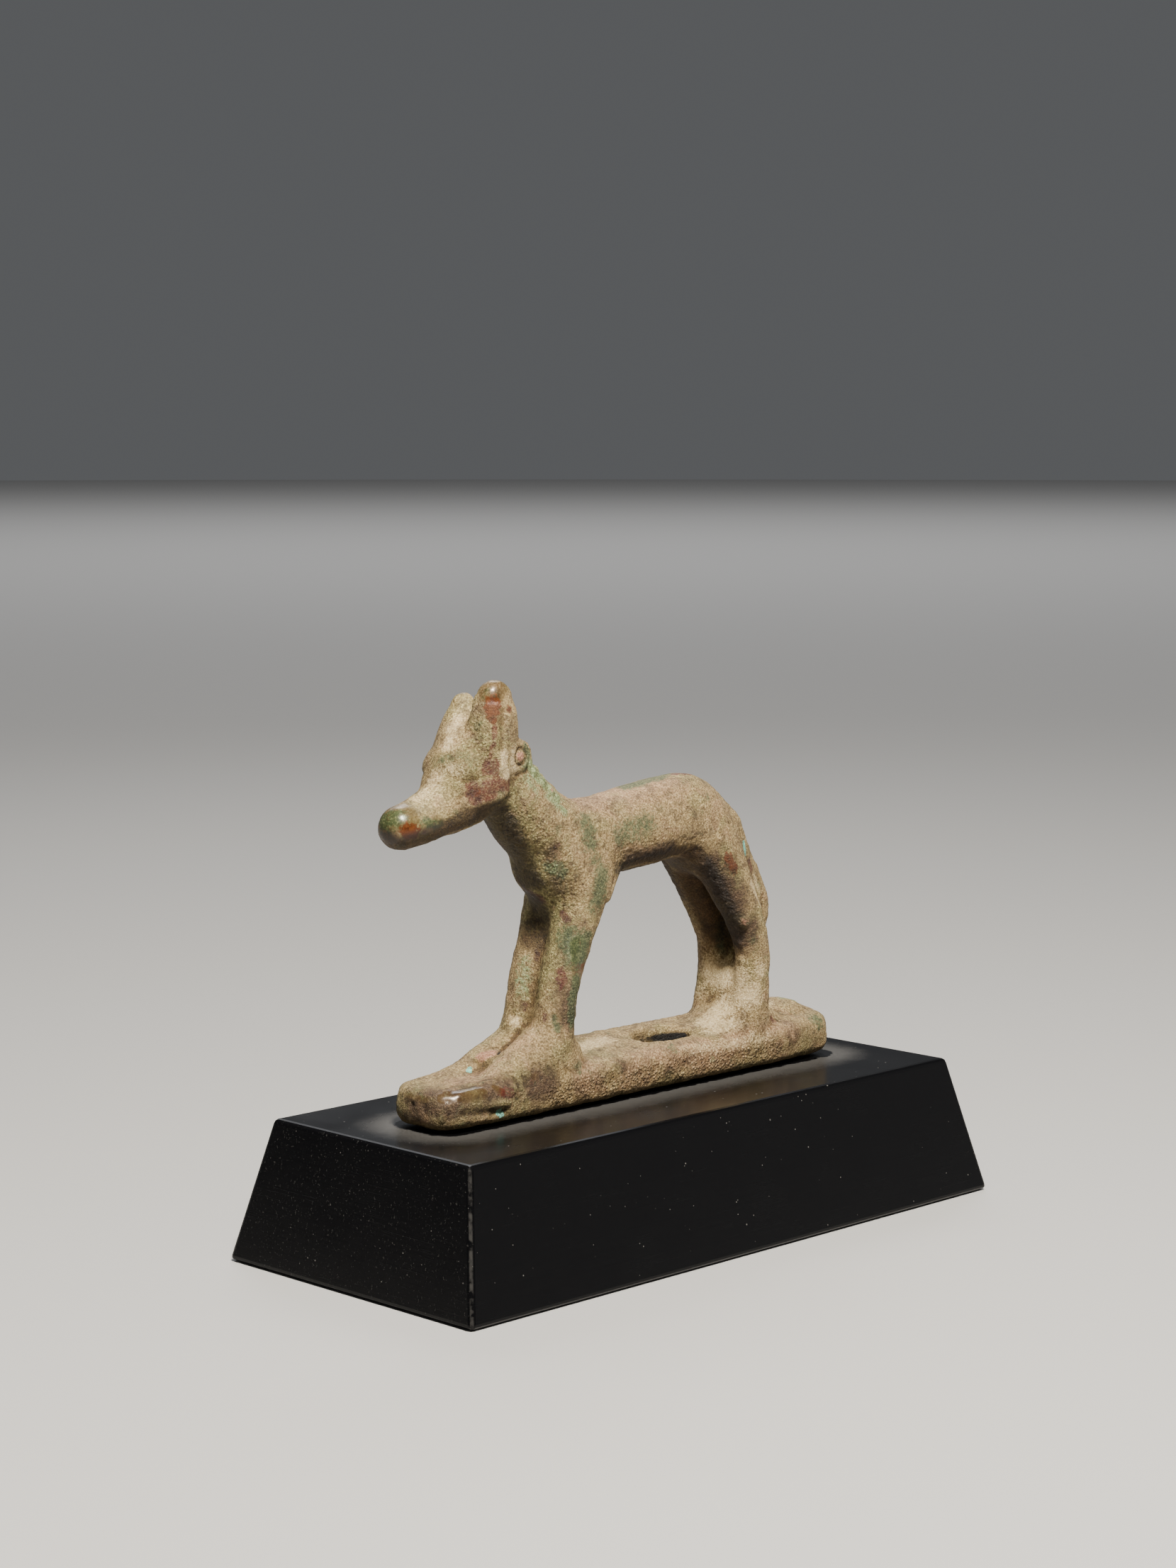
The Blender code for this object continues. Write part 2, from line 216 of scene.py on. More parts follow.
add_and_apply(bronze, "REMESH", mode="VOXEL", voxel_size=GRAIN_MESH)
add_and_apply(bronze, "SMOOTH", factor=0.5, iterations=10)
print("bronze skin", len(bronze.data.vertices), "points")


# %% [markdown]
# ### Marks
# The creases, knobs and ridges that show from a step away are pressed in or raised along the skin. Each
# mark is a short chain of points with a width, and the painted weight falls off smoothly from the chain.
# A Displace modifier then moves the weighted points along their normals by a stated height.

# %% Marks as painted weights
def skin_points(thing):
    places = np.empty(len(thing.data.vertices) * 3)
    thing.data.vertices.foreach_get("co", places)
    return places.reshape(-1, 3) / MM


def chain_weight(places, chain, width):
    """How near each point is to a chain of points: 1 on it, 0 at the width."""
    nearest = np.full(len(places), 1e9)
    links = list(zip(chain, chain[1:])) or [(chain[0], chain[0])]
    for start, end in links:
        start, along = np.array(start, float), np.array(end, float) - np.array(start, float)
        share = np.clip(((places - start) @ along) / max(along @ along, 1e-9), 0, 1)
        nearest = np.minimum(nearest, np.linalg.norm(places - start - share[:, None] * along, axis=1))
    return np.clip(1 - (nearest / width) ** 2, 0, 1) ** 2


def paint_group(thing, name, weights):
    group = thing.vertex_groups.new(name=name)
    for index in np.nonzero(weights > 0.004)[0]:
        group.add([int(index)], float(weights[index]), "REPLACE")


def mark_weights(places, marks):
    """The strongest mark at each point, from a list of marks: (width, share, chain)."""
    weights = np.zeros(len(places))
    for width, share, chain in marks:
        weights = np.maximum(weights, share * chain_weight(places, chain, width))
    return weights


def work_marks(thing, name, marks, height):
    """Raises a list of marks, or presses them in if the height is negative."""
    weights = mark_weights(skin_points(thing), marks)
    paint_group(thing, name, weights)
    add_and_apply(thing, "DISPLACE", strength=height * MM, mid_level=0, vertex_group=name)
    print(name, len(marks), "marks,", int((weights > 0.01).sum()), "points moved")


# %% Creases and hollows
def ring_points(side, radius):
    """Points round the loop's bore, on the left face (side -1) or the right one (side 1)."""
    turns = [math.radians(step * 30) for step in range(13)]
    return [(RING_MIDDLE[0] + radius * math.cos(turn), RING_FACE * side,
             RING_MIDDLE[1] + radius * math.sin(turn)) for turn in turns]


RING_LEFT, RING_RIGHT = ring_points(-1, 1.75), ring_points(1, 1.75)
work_marks(bronze, "creases", [
    (0.6, 0.55, [(-35.4, -3.3, 67.0), (-34.3, -4.0, 66.4), (-32.9, -4.5, 66.7)]),
    (0.5, 0.4, [(-36.2, -0.9, 69.0), (-35.0, -2.4, 69.8)]),
    (1.0, 0.9, [(-28.6, -5.3, 75.4), (-29.0, -5.6, 73.0), (-29.3, -5.8, 70.4)]),
    (0.6, 0.55, [(-35.4, 3.3, 67.0), (-34.3, 4.0, 66.4), (-32.9, 4.5, 66.7)]),
    (1.0, 0.7, [(-28.7, 5.5, 74.2), (-28.9, 5.8, 71.6)]),
    (1.4, 1.0, [(-31.4, -3.4, 61.7), (-28.8, -4.4, 62.3), (-26.8, -4.6, 63.4)]),
    (1.4, 0.8, [(-31.4, 3.4, 61.7), (-28.8, 4.4, 62.3), (-26.8, 4.6, 63.4)]),
    (0.4, 0.55, ring_points(-1, 1.2)), (0.4, 0.55, ring_points(1, 1.2)),
    (0.6, 0.9, [(-24.6, 0.2, 27.8), (-22.7, 0.6, 28.6)]),
    (1.1, 1.0, [(2.4, -1.9, 26.5), (5.6, -2.3, 26.3), (9.6, -1.9, 26.0)]),
    (0.9, 0.9, [(-36.8, -6.0, 22.4), (-33.6, -6.4, 22.1), (-29.6, -6.5, 21.9)]),
    (0.8, 0.9, [(-39.2, -0.1, 24.5), (-39.4, 0.3, 23.9)]), (0.7, 0.8, [(-40.2, 0.6, 23.3)]),
    (0.6, 0.6, [(-40.0, -2.0, 25.0), (-40.4, -1.8, 22.6)]),
    (0.6, 0.6, [(-40.0, 1.8, 25.0), (-40.4, 1.9, 22.4)]),
    (2.2, 0.9, [(6.1, -6.3, 23.4)]), (1.6, 0.7, [(12.1, -5.9, 24.7)]), (1.8, 0.6, [(-9.0, -6.3, 23.0)]),
    (1.4, 0.7, [(21.4, -5.0, 52.0), (22.6, -3.4, 49.0), (24.8, -2.4, 45.0)]),
    (1.2, 0.7, [(21.4, 5.0, 52.0), (22.6, 3.4, 49.0), (24.8, 2.4, 45.0)]),
], -0.38)

# %% Knobs, lumps and ridges
work_marks(bronze, "knobs", [
    (1.3, 1.0, [(18.9, -5.7, 41.8)]), (0.9, 0.8, [(19.4, -4.2, 38.5)]), (0.9, 0.9, [(19.9, -4.0, 36.0)]),
    (1.1, 0.8, [(15.1, -6.1, 51.9), (15.8, -6.1, 50.4)]), (0.8, 0.8, [(13.1, -6.0, 54.5)]),
    (1.3, 1.0, [(-20.2, 2.9, 31.5), (-20.8, 0.0, 31.2)]),
    (1.3, 1.0, [(-26.4, 1.4, 27.8), (-24.4, 0.6, 28.0)]),
    (1.0, 0.8, [(-29.2, -5.7, 68.0)]), (1.1, 1.0, [(-18.5, -3.6, 63.9)]),
    (1.0, 0.7, [(-25.0, -4.75, 69.1)]),
    (1.0, 0.7, [(-25.0, 4.75, 69.1)]), (1.0, 1.0, [(-20.6, -2.8, 66.8)]),
    (1.1, 1.0, [(-19.4, -2.6, 65.4)]),
    (0.8, 0.8, [(-21.6, -3.4, 66.6)]), (0.8, 0.8, [(-20.2, -3.8, 65.0)]),
    (0.9, 0.8, [(-17.2, -3.2, 62.8)]),
    (2.4, 0.8, [(-34.2, -3.8, 68.6), (-33.2, -4.3, 68.7)]),
    (2.3, 1.0, [(-34.2, 3.8, 68.3), (-33.4, 4.3, 68.4)]),
    (1.0, 0.9, [(-30.4, -1.6, 77.0), (-31.2, -2.2, 75.2), (-31.8, -2.6, 73.4)]),
    (0.9, 0.8, [(-28.3, 1.4, 76.6), (-28.8, 1.0, 75.0)]),
    (0.6, 0.3, RING_LEFT), (0.6, 0.3, RING_RIGHT),
    (1.2, 0.8, [(-34.4, -4.3, 63.5), (-32.2, -4.9, 62.9), (-30.1, -5.3, 63.4), (-27.4, -5.2, 64.6)]),
    (1.2, 0.7, [(-34.4, 4.3, 63.5), (-32.2, 4.9, 62.9), (-30.1, 5.3, 63.4), (-27.4, 5.2, 64.6)]),
    (0.9, 1.0, [(-31.6, -6.3, 23.0), (-29.0, -6.3, 22.8)]),
    (1.2, 0.6, [(-36.7, -5.3, 24.9), (-31.6, -5.5, 24.9)]),
    (0.7, 0.8, [(-28.0, -5.3, 26.0), (-27.6, -6.1, 24.4)]),
    (0.6, 0.6, [(-26.4, -5.6, 26.0), (-26.2, -6.2, 24.8)]),
    (0.6, 0.6, [(-24.8, -5.9, 26.2), (-24.6, -6.3, 25.0)]),
    (0.9, 0.9, [(-5.9, -4.6, 51.6), (-7.6, -5.0, 49.8), (-9.3, -5.5, 48.4)]),
    (2.0, 0.7, [(16.0, -6.2, 24.0)]), (1.8, 0.6, [(1.0, -6.3, 22.6)]), (2.4, 0.7, [(28.0, -6.1, 24.0)]),
    (1.0, 0.9, [(3.4, 2.0, 26.8), (6.0, 2.2, 26.9)]), (1.0, 1.0, [(8.4, 1.9, 26.8), (11.4, 1.2, 26.6)]),
    (0.7, 0.8, [(7.2, -2.3, 26.2)]),
    (0.8, 0.8, [(-37.6, -3.6, 25.2), (-33.4, -3.9, 25.5), (-30.2, -4.6, 25.4)]),
    (0.7, 0.7, [(-38.9, -4.9, 23.6), (-39.2, -4.4, 22.0)]), (1.0, 0.6, [(31.0, 3.0, 28.0)]),
    (0.9, 0.6, [(28.0, -1.0, 28.2)]), (1.6, 0.7, [(24.0, 4.8, 26.6)]), (1.8, 0.7, [(-6.0, 6.0, 24.0)]),
    (1.2, 0.8, [(16.0, 5.8, 47.0)]), (1.0, 0.8, [(18.8, 5.6, 38.0)]),
], 0.42)

# %% [markdown]
# ### Corrosion
# Four sizes of unevenness lie over each other: soft swellings from the wax, lumps of crust, fine
# grains, and coarser grains in the places where the photograph shows a rough crust. Each is a
# procedural texture in a Displace modifier. The worn places are painted first, because the muzzle's
# tip, the ear's tip and the front of the base are smooth under any crust.

# %% Where the bronze is worn smooth
places = skin_points(bronze)
worn_marks = [
    (5.0, 1.0, [(-45.4, -0.6, 61.5), (-43.4, -0.8, 61.6)]),
    (2.2, 0.7, [(-40.6, -3.2, 60.4), (-38.6, -3.6, 61.2)]),
    (3.2, 1.0, [(-28.0, -3.2, 79.0), (-28.8, -3.4, 77.6)]), (1.6, 0.6, [(-28.6, 2.7, 77.6)]),
    (1.9, 0.9, [(-38.6, -4.2, 24.7), (-36.2, -5.4, 24.8), (-33.4, -5.6, 24.8)]),
    (1.3, 0.7, [(-30.8, -5.6, 25.2), (-29.8, -6.1, 24.4)]),
    (1.5, 0.6, [(-40.2, -2.0, 24.4), (-40.3, 1.8, 24.4)]), (2.0, 0.5, [(-23.6, -5.9, 25.6)]),
    (3.2, 0.5, [(34.5, -4.0, 24.6)]),
    (2.6, 0.75, [(-15.2, -5.6, 42.6), (-15.0, -5.6, 38.6)]), (1.2, 0.6, [(12.0, -4.6, 62.6)]),
]
calm_marks = worn_marks + [
    (5.5, 1.0, [(-42.0, -0.8, 62.0), (-37.0, 0.0, 64.0)]), (4.5, 0.6, [(-33.0, 0.0, 68.0)]),
    (3.4, 0.9, [(-28.6, 2.7, 77.0), (-31.5, 0.6, 73.5), (-33.8, -0.2, 70.5)]),
    (3.2, 0.55, [(-31.0, -5.2, 65.2)]),
    (5.5, 0.6, [(-4.0, 0.0, 62.5), (8.0, 0.0, 64.5)]),
    (4.0, 0.5, [(-20.0, -2.0, 30.0), (-30.0, -1.0, 26.0)]),
]
calm = mark_weights(places, calm_marks)
paint_group(bronze, "crusty", 1 - 0.95 * calm)
coarse_marks = [
    (4.0, 1.0, [(-6.0, -4.5, 53.5), (2.0, -4.5, 53.5), (8.0, -5.0, 53.0)]),
    (4.0, 0.8, [(12.0, -5.5, 50.0), (17.0, -5.5, 40.0)]),
    (5.0, 0.9, [(-24.0, -3.0, 60.0), (-20.0, -4.0, 55.0), (-17.0, -4.0, 50.0)]),
    (3.0, 0.6, [(-31.0, -2.0, 75.0), (-31.0, -4.5, 70.0)]),
    (3.0, 0.8, [(-20.0, -6.0, 22.5), (0.0, -6.0, 22.5), (25.0, -6.0, 22.5)]),
    (3.0, 0.7, [(-16.0, -5.0, 33.0)]),
    (5.0, 0.6, [(-20.0, 4.0, 57.0), (-6.0, 4.5, 54.0), (10.0, 5.0, 53.0), (17.0, 5.5, 42.0)]),
    (3.0, 0.7, [(-20.0, 6.0, 22.5), (25.0, 6.0, 22.5)]),
]
paint_group(bronze, "coarse", mark_weights(places, coarse_marks))
print("calm share of the skin", round(float(calm.mean()), 3))


# %% The four sizes of unevenness
def corrode(thing, name, kind, size, height, group="crusty", **settings):
    texture = bpy.data.textures.new(name, kind)
    texture.noise_scale = size * MM
    for key, value in settings.items():
        setattr(texture, key, value)
    add_and_apply(thing, "DISPLACE", texture=texture, texture_coords="LOCAL", strength=height * MM,
                  mid_level=0.5, vertex_group=group)


corrode(bronze, "swellings", "CLOUDS", 3.2, 0.34, noise_depth=1)
corrode(bronze, "crust_lumps", "CLOUDS", 1.1, 0.14, noise_depth=1)
corrode(bronze, "grains", "CLOUDS", 0.45, 0.10, noise_depth=0)
corrode(bronze, "coarse_grains", "CLOUDS", 0.5, 0.30, noise_depth=0, group="coarse")
bronze.data.shade_smooth()
places = skin_points(bronze)
print("bronze now from", places.min(0).round(2), "to", places.max(0).round(2))

# %% [markdown]
# ### Where each colour lies
# Red cuprite, rust-brown stains, green malachite, turquoise spots, cream earth and the worn metal lie
# in known places, read off the photograph and set on the skin. Each colour gets its own value at every
# point, called an attribute, which the material reads and breaks up with noise, so that no patch is
# round. On the hidden side the same kinds of patches are laid out anew, a little sparser.


# %% Colour places as attributes
def paint_attribute(thing, name, marks, places):
    values = mark_weights(places, marks)
    layer = thing.data.attributes.new(name, "FLOAT", "POINT")
    layer.data.foreach_set("value", values.astype(np.float32))
    print(name, "covers", round(float((values > 0.3).mean()), 4), "of the skin")


# %% Red and rust places
red_marks = [
    (0.9, 0.8, [(-30.0, -5.2, 73.4), (-30.2, -5.3, 72.2)]),
    (0.7, 0.6, [(-30.4, -5.3, 71.2), (-30.9, -5.2, 69.4)]),
    (1.1, 0.9, [(-30.2, -5.6, 68.6), (-30.2, -5.5, 67.4), (-31.3, -5.1, 67.9)]),
    (2.0, 1.0, [(-33.2, -4.2, 65.2), (-33.0, -4.1, 64.2), (-31.0, -5.1, 64.6)]),
    (1.6, 1.0, [(-31.2, -5.2, 65.8), (-29.6, -5.5, 65.8), (-27.4, -5.0, 65.6)]),
    (1.1, 0.9, [(-31.6, -4.9, 67.6), (-31.2, -5.1, 68.8)]),
    (1.0, 0.8, [(-15.8, -4.4, 46.0), (-16.0, -3.6, 46.6)]), (0.9, 0.6, [(-18.2, -4.9, 56.5)]),
    (1.4, 0.7, [(-17.7, -5.0, 39.0), (-17.7, -5.1, 37.4)]),
    (1.6, 0.7, [(-18.4, 1.0, 50.0), (-17.6, -1.0, 48.6)]), (1.2, 0.6, [(-18.8, 1.0, 33.6)]),
    (1.5, 0.6, [(-29.8, -6.1, 24.3), (-28.4, -6.1, 24.0)]),
    (1.0, 0.6, [(22.4, -3.2, 50.4), (23.6, -2.6, 48.6)]), (1.3, 0.5, [(7.2, -6.3, 24.0)]),
    (1.7, 1.0, [(9.4, -0.6, 64.4), (12.0, -0.8, 64.2)]), (1.6, 0.6, [(26.3, -4.3, 26.4)]),
    (1.5, 0.55, [(-16.9, 0.5, 40.5)]),
    (1.6, 0.6, [(-24.4, -5.2, 24.6)]), (1.3, 0.6, [(-26.5, -2.6, 64.6)]),
    (1.4, 0.6, [(-19.5, -3.8, 32.9)]),
    (2.2, 0.9, [(-30.6, 5.2, 66.0), (-29.0, 5.6, 69.0)]), (1.8, 0.8, [(-28.4, 4.4, 75.0)]),
    (2.4, 0.7, [(3.0, 5.4, 57.0)]), (1.6, 0.6, [(-14.0, 5.4, 44.0)]), (1.6, 0.6, [(20.0, 5.4, 40.0)]),
]
rust_marks = [
    (2.1, 1.0, [(-29.7, -4.4, 76.5), (-29.9, -4.5, 75.6)]), (1.4, 0.9, [(-30.2, -4.8, 74.4)]),
    (1.0, 0.9, [(-27.6, -5.3, 75.6)]),
    (2.0, 1.0, [(-43.4, -2.6, 60.6), (-42.6, -2.8, 60.4)]), (1.0, 0.7, [(-40.8, -2.9, 60.3)]),
    (1.2, 0.8, [(-32.6, -4.5, 64.8)]),
    (1.6, 0.8, [(14.6, -6.1, 51.8), (16.0, -6.1, 49.9)]), (1.5, 0.7, [(-14.0, -5.5, 39.3)]),
    (1.6, 0.7, [(38.4, -4.0, 24.0)]),
    (2.0, 0.8, [(-28.4, 4.6, 76.0)]), (1.6, 0.6, [(15.0, 5.8, 50.0)]), (2.0, 0.7, [(-38.0, 3.4, 61.6)]),
]
paint_attribute(bronze, "red", red_marks, places)
paint_attribute(bronze, "rust", rust_marks, places)

# %% Green and blue places
green_marks = [
    (1.3, 1.0, [(-23.6, -4.75, 67.6), (-23.0, -4.75, 69.1), (-23.8, -4.75, 70.6)]),
    (1.2, 0.8, [(-22.2, -3.2, 69.0)]),
    (3.0, 0.75, [(-12.6, -5.0, 58.8), (-12.4, -5.4, 56.4)]), (2.4, 0.7, [(-11.8, -5.5, 53.6)]),
    (3.2, 0.66, [(-6.2, -5.4, 56.8), (-1.6, -5.5, 58.0)]),
    (1.9, 0.85, [(-18.6, -4.2, 53.4), (-17.4, -4.8, 52.8)]),
    (2.8, 1.0, [(-16.0, -4.8, 43.6), (-15.4, -5.6, 41.0)]),
    (2.2, 1.0, [(-13.8, -5.9, 43.4), (-14.4, -5.9, 40.4)]),
    (2.2, 0.8, [(-12.2, -4.6, 51.5), (-12.4, -5.2, 47.5)]),
    (1.8, 1.0, [(-15.4, -5.5, 37.4), (-16.0, -5.6, 34.6), (-16.1, -5.6, 32.2)]),
    (1.1, 0.7, [(-18.9, -5.1, 32.8), (-18.6, -5.2, 31.2)]),
    (1.6, 0.5, [(-33.4, -4.0, 69.2), (-35.8, -0.6, 69.0)]),
    (2.4, 0.9, [(-11.0, -6.2, 52.0), (-11.8, -6.2, 48.4)]),
    (2.8, 0.9, [(-45.0, 0.2, 61.8), (-44.4, -1.8, 62.4)]),
    (1.5, 0.8, [(-40.4, -2.9, 61.4), (-38.4, -3.3, 60.8)]), (1.4, 0.5, [(11.7, -5.1, 60.4)]),
    (1.3, 0.7, [(25.7, -1.9, 46.3)]),
    (2.5, 1.0, [(-0.2, -0.2, 62.7), (6.3, -0.2, 63.7), (8.6, 0.6, 64.4)]),
    (1.8, 0.7, [(-15.1, -5.7, 25.4)]),
    (1.8, 0.65, [(4.2, -5.1, 25.3)]), (2.6, 0.8, [(35.5, -5.0, 25.0)]), (1.6, 0.7, [(-36.6, -2.2, 68.8)]),
    (2.0, 0.7, [(-20.0, 2.9, 36.5), (-19.2, 2.4, 41.0)]),
    (1.7, 0.7, [(21.4, 1.8, 40.0), (22.2, 1.4, 34.0)]),
    (2.6, 0.9, [(-13.0, 5.2, 57.0), (-12.0, 5.2, 52.0)]), (2.4, 0.8, [(7.0, 5.4, 58.0)]),
    (2.4, 0.8, [(-16.0, 5.6, 40.0)]), (2.6, 0.8, [(17.0, 5.6, 48.0)]), (2.4, 0.7, [(-2.0, 5.9, 24.5)]),
    (2.0, 0.7, [(30.0, 5.6, 24.0)]), (2.0, 0.8, [(-42.0, 2.8, 62.0)]),
]
verdigris_marks = [
    (2.0, 1.0, [(-22.2, -3.2, 67.4), (-21.1, -3.6, 66.2), (-19.2, -3.6, 64.6), (-17.6, -3.8, 62.8)]),
    (1.7, 0.9, [(-20.6, -1.8, 67.0), (-18.2, -2.2, 64.2), (-16.0, -2.6, 61.8)]),
    (1.5, 0.7, [(-19.6, -4.8, 63.4), (-16.6, -4.8, 61.0)]),
    (1.6, 0.6, [(-23.4, -4.4, 66.0), (-21.8, -4.8, 64.2)]),
    (2.4, 0.55, [(-18.3, 1.6, 39.6), (-18.6, 1.6, 35.6)]),
    (1.2, 0.6, [(36.6, -0.6, 27.4), (33.6, 0.4, 28.0)]), (1.3, 0.5, [(21.4, 1.6, 35.0)]),
    (1.2, 0.5, [(11.4, -6.3, 22.8)]),
    (1.6, 0.7, [(-22.0, 2.6, 67.5), (-18.6, 3.2, 63.8)]), (1.6, 0.6, [(-18.6, -4.4, 53.4)]),
]
turquoise_marks = [
    (0.95, 1.0, [(20.3, -4.0, 52.9), (20.8, -3.8, 51.5)]),
    (0.95, 1.0, [(-30.4, -6.1, 21.7), (-30.0, -6.1, 21.4)]),
    (0.8, 0.9, [(-24.6, 1.6, 29.4)]), (0.75, 0.9, [(-28.9, 1.2, 26.6), (-29.3, 1.0, 26.0)]),
    (1.0, 0.9, [(30.0, 3.6, 28.3), (31.4, 3.2, 28.2)]), (0.6, 0.7, [(-36.0, -5.2, 24.4)]),
    (0.8, 0.9, [(22.0, 1.9, 50.0)]), (0.7, 0.8, [(12.0, 5.6, 26.8)]), (0.7, 0.8, [(-12.0, 5.0, 60.0)]),
]
paint_attribute(bronze, "green", green_marks, places)
paint_attribute(bronze, "verdigris", verdigris_marks, places)
paint_attribute(bronze, "turquoise", turquoise_marks, places)

# %% Pale and earthy places
cream_marks = [
    (2.2, 0.7, [(-31.0, 1.0, 74.2), (-32.4, 0.2, 72.8)]),
    (1.9, 0.75, [(-33.6, -0.6, 71.8), (-34.4, -0.6, 70.8)]),
    (2.8, 0.6, [(-39.6, -0.6, 64.2), (-36.4, -0.8, 66.6)]),
    (2.0, 0.6, [(-35.4, -2.4, 68.0), (-34.6, -3.0, 67.6)]),
    (4.6, 1.0, [(20.1, -2.6, 33.4), (20.3, 1.8, 33.6)]),
    (3.4, 0.9, [(20.7, -5.5, 31.0), (19.1, -1.8, 29.2), (15.0, -2.0, 27.4)]),
    (2.4, 0.7, [(22.1, -5.9, 34.5)]),
    (1.5, 1.0, [(-20.7, 0.6, 31.6), (-19.4, 2.2, 31.6)]),
    (1.4, 1.0, [(-28.8, -5.6, 69.6), (-28.9, -5.6, 67.6), (-28.0, -5.4, 66.8)]),
    (1.4, 1.0, [(-27.0, -4.9, 70.2), (-27.0, -4.9, 68.0), (-26.0, -4.6, 67.0)]),
    (2.8, 0.6, [(24.0, 0.0, 28.4), (30.0, 0.0, 27.9)]),
    (3.0, 0.8, [(-3.0, 1.0, 26.4), (-10.0, 0.0, 26.6)]),
    (2.6, 0.7, [(14.0, -3.4, 26.2), (24.0, -4.4, 27.0)]),
    (2.4, 0.5, [(6.0, -6.2, 25.0), (16.0, -6.2, 24.4), (24.0, -6.2, 24.6)]),
    (1.3, 0.7, [(-8.0, -4.4, 49.6), (-9.4, -4.7, 47.0)]),
    (1.2, 0.9, [(20.3, -5.8, 47.4), (21.6, -5.2, 45.4), (22.6, -4.6, 43.6)]),
    (1.1, 0.8, [(24.6, -2.2, 47.6), (25.8, -1.6, 45.0)]), (1.6, 0.5, [(-21.0, -3.0, 31.0)]),
    (3.0, 0.6, [(20.0, 4.0, 30.5)]), (2.6, 0.6, [(-18.5, 4.4, 31.0)]), (2.4, 0.5, [(-10.0, 4.4, 47.0)]),
]
pink_marks = [
    (1.2, 1.0, [(-25.0, -4.75, 69.1)]), (1.2, 1.0, [(-25.0, 4.75, 69.1)]),
    (0.8, 1.0, [(-18.5, -3.8, 63.9)]),
    (1.5, 0.8, [(-26.6, 1.4, 27.6), (-25.2, 0.8, 27.9)]), (1.5, 0.6, [(18.9, -5.5, 42.0)]),
    (1.2, 0.5, [(-28.4, 2.8, 26.2)]), (1.1, 0.5, [(15.9, -5.6, 50.0)]),
]
olive_marks = [
    (8.0, 1.0, [(-27.0, 0.0, 65.0), (-20.0, 0.0, 57.0), (-16.0, 0.0, 48.0)]),
    (5.0, 0.8, [(-15.5, -3.0, 46.0), (-16.5, -3.0, 36.0)]),
    (6.0, 0.6, [(-33.0, -3.0, 68.0), (-30.0, -4.0, 72.0)]),
    (5.0, 0.6, [(22.0, 0.0, 42.0), (22.0, 0.0, 34.0)]),
]
rosy_marks = [
    (8.0, 1.0, [(-10.0, 0.0, 60.0), (4.0, 0.0, 61.0), (14.0, 0.0, 58.0)]),
    (6.0, 0.8, [(16.0, 0.0, 50.0), (21.0, 0.0, 40.0)]),
    (5.0, 0.8, [(-20.0, -2.0, 29.0), (-33.0, -2.0, 25.0)]),
    (4.6, 1.0, [(-14.0, -6.0, 24.0), (10.0, -6.0, 24.0), (28.0, -6.0, 24.0)]),
]
brown_marks = [
    (4.6, 1.0, [(-40.0, 1.0, 23.2), (-38.6, -4.6, 23.8), (-30.0, -6.0, 24.0), (-22.0, -6.1, 24.6)]),
    (3.4, 0.5, [(26.0, -6.0, 22.6), (37.0, -4.0, 23.6)]),
    # The near thigh's brown is partly brown crust and partly painted shade under the belly.
    (4.6, 1.0, [(13.5, -5.4, 50.5), (16.6, -5.2, 45.5), (18.6, -4.4, 39.0)]),
    (3.6, 1.0, [(-15.6, -5.4, 42.0), (-16.2, -5.3, 37.6), (-16.6, -5.2, 32.6)]),
    (2.2, 1.0, [(-7.1, -6.2, 24.8)]), (1.9, 0.9, [(2.4, -6.3, 22.2)]),
    (2.6, 0.8, [(-4.0, -4.6, 53.4), (4.0, -4.9, 53.8)]),
    (2.4, 0.7, [(-18.4, -4.0, 56.0), (-17.4, -4.4, 50.0)]), (2.0, 0.6, [(14.0, -6.1, 53.0)]),
    (2.4, 0.9, [(20.0, -5.9, 42.0), (20.4, -5.9, 39.0)]),
    (2.6, 1.0, [(-37.0, -5.0, 24.8), (-31.0, -5.6, 24.8)]),
    (2.4, 0.8, [(-40.2, 0.4, 24.0), (-40.2, -2.6, 23.6)]),
    (4.5, 0.7, [(-44.0, -1.0, 60.5), (-41.0, -1.0, 61.5)]),
    (5.0, 0.6, [(36.0, 0.0, 23.5)]),
]
paint_attribute(bronze, "cream", cream_marks, places)
paint_attribute(bronze, "pink", pink_marks, places)
paint_attribute(bronze, "olive", olive_marks, places)
paint_attribute(bronze, "rosy", rosy_marks, places)
paint_attribute(bronze, "brown", brown_marks, places)
paint_attribute(bronze, "worn", worn_marks, places)
paint_attribute(bronze, "calm", calm_marks, places)
paint_attribute(bronze, "granular", coarse_marks, places)

# %% [markdown]
# Two more values darken the skin, and both are painted shade. One marks deep places, such as the void in
# the base and the gap between the ears, and paints their shadow nearly black. The other, called shade,
# marks the throat, the undersides of the muzzle and jaw, the belly's underside and the insides of the
# hind legs, where the photograph is darkest, and paints shade there. Part of that darkness is shadow, so
# how dark the crust itself is there is a guess.

# %% Dark and shaded places
# Painted shadow in recesses: the base's void, the loop's bore, the seam between the ears, pits at the base's
# front end and a crease between the fore paws.
recess_shadow_marks = [
    (0.4, 0.35, ring_points(-1, 1.2)), (0.4, 0.35, ring_points(1, 1.2)), (0.7, 0.3, [(-39.6, 0.6, 24.4)]),
    (0.55, 0.8, [(-28.9, 0.3, 76.0), (-29.6, -0.3, 73.4), (-30.3, -0.6, 72.2)]),
    (2.6, 1.0, [(2.6, 0.2, 23.0), (10.6, -1.0, 22.8)]),
    (1.9, 1.0, [(3.4, 0.4, 24.6), (10.2, -0.8, 24.6)]),
    (1.2, 1.0, [(2.0, -0.3, 25.9), (3.6, 0.6, 25.6), (7.4, 0.6, 25.4), (9.8, 0.1, 25.3),
                (11.2, -0.6, 25.2)]),
    (0.6, 0.45, [(-24.6, 0.2, 27.8), (-22.7, 0.6, 28.6)]),
]
